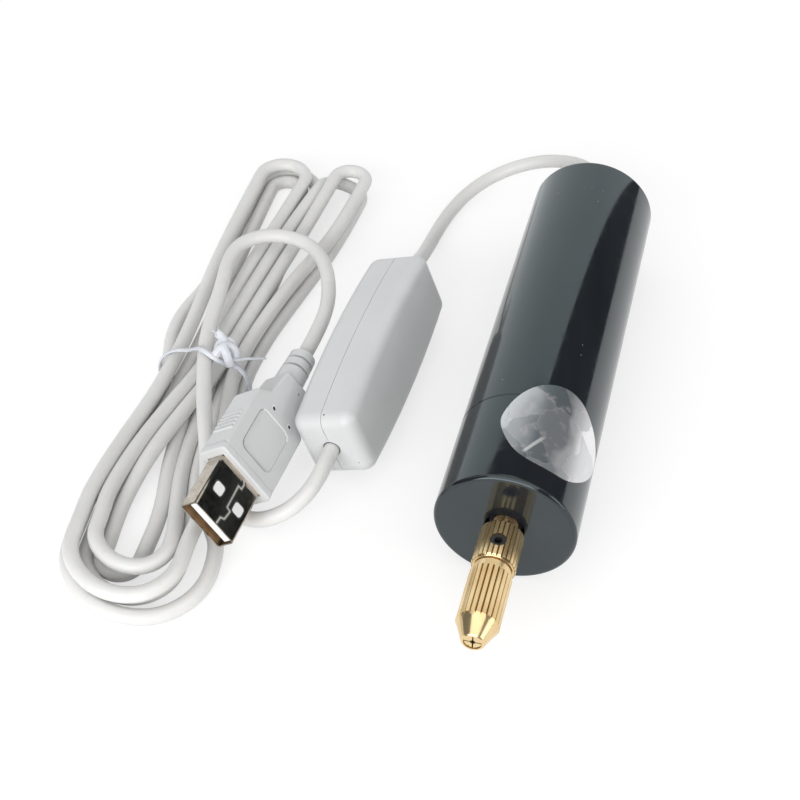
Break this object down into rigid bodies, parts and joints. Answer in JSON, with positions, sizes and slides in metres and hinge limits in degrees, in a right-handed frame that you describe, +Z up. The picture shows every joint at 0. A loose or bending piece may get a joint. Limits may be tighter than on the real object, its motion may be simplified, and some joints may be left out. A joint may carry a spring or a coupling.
{
  "type": "mini drill",
  "caption": "Pen-sized mini drill: motor in a round tube, knurled collet chuck on its shaft, and a tied lead with an in-line converter box and a USB plug.",
  "frame": {"origin": "on the table under the middle of the drill's own bounding box (lead, box and plug left out)", "axes": "+Z up, +Y along the drill's axis to its rear, the chuck to -Y, +X to the right"},
  "size_m": [0.1048, 0.1572, 0.0282],
  "materials": {
    "black_plastic": "glossy moulded near-black plastic",
    "motor_steel": "black-passivated drawn steel",
    "magnet": "dull ferrite",
    "bell_plastic": "matt moulded plastic",
    "bush_bronze": "sintered bronze",
    "brush_carbon": "dull carbon",
    "terminal_brass": "plain brass strip",
    "wire_red": "red insulated wire",
    "wire_black": "black insulated wire",
    "cord_pvc": "satin light warm grey jacket",
    "tie_white": "white soft plastic",
    "grommet_rubber": "matt black rubber",
    "foil": "silver holographic foil, slightly crumpled",
    "shaft_steel": "ground steel",
    "core_steel": "stacked steel laminations",
    "winding_copper": "enamelled copper",
    "chuck_brass": "turned bright brass",
    "screw_steel": "blackened steel",
    "grey_plastic": "satin light grey moulded plastic",
    "board_green": "green circuit board",
    "ferrite": "dull ferrite",
    "capacitor_can": "aluminium can",
    "chip_black": "black moulded package",
    "plug_steel": "bright nickel-plated sheet",
    "tongue_white": "white moulded plastic",
    "contact_gold": "gold-flashed contacts"
  },
  "bodies": {
    "housing": {"main_tube": "black_plastic", "front_cap": "black_plastic", "motor_can": "motor_steel", "motor_magnets": "magnet", "motor_end_bell": "bell_plastic", "front_bush": "bush_bronze", "rear_bush": "bush_bronze", "brushes": "brush_carbon", "motor_terminals": "terminal_brass", "lead_red": "wire_red", "lead_black": "wire_black", "inner_cord_end": "cord_pvc", "inner_cable_tie": "tie_white", "rear_grommet": "grommet_rubber", "label_sticker": "foil", "box_cover": "grey_plastic", "box_base": "grey_plastic", "converter_board": "board_green", "converter_inductor": "ferrite", "converter_capacitors": "capacitor_can", "converter_chip": "chip_black", "board_wires": "wire_red", "cord_drill_to_box": "cord_pvc", "cord_box_to_hank": "cord_pvc", "cord_hank": "cord_pvc", "cord_plug_tail": "cord_pvc", "plug_overmould": "grey_plastic", "plug_shell": "plug_steel", "plug_tongue": "tongue_white", "plug_contacts": "contact_gold", "hank_tie": "tie_white"},
    "spindle": {"motor_shaft": "shaft_steel", "rotor_core": "core_steel", "rotor_windings": "winding_copper", "commutator": "winding_copper", "chuck_body": "chuck_brass", "set_screws": "screw_steel"},
    "collet": {"collet": "chuck_brass"},
    "nut": {"chuck_nut": "chuck_brass"}
  },
  "joints": [
    {"name": "spindle_spin", "type": "hinge", "parent": "housing", "child": "spindle", "pos_m": [0, -0.0372, 0.014], "axis": [0, 1, 0], "continuous": true},
    {"name": "collet_slide", "type": "slide", "parent": "spindle", "child": "collet", "axis": [0, -1, 0], "range_m": [0, 0.00225]},
    {"name": "nut_turn", "type": "hinge", "parent": "collet", "child": "nut", "pos_m": [0, -0.0537, 0.014], "axis": [0, -1, 0], "range_deg": [0, 1080]}
  ],
  "couplings": [
    {"joint": "nut_turn", "follows": "collet_slide", "rad_per_m": 8377.6}
  ]
}
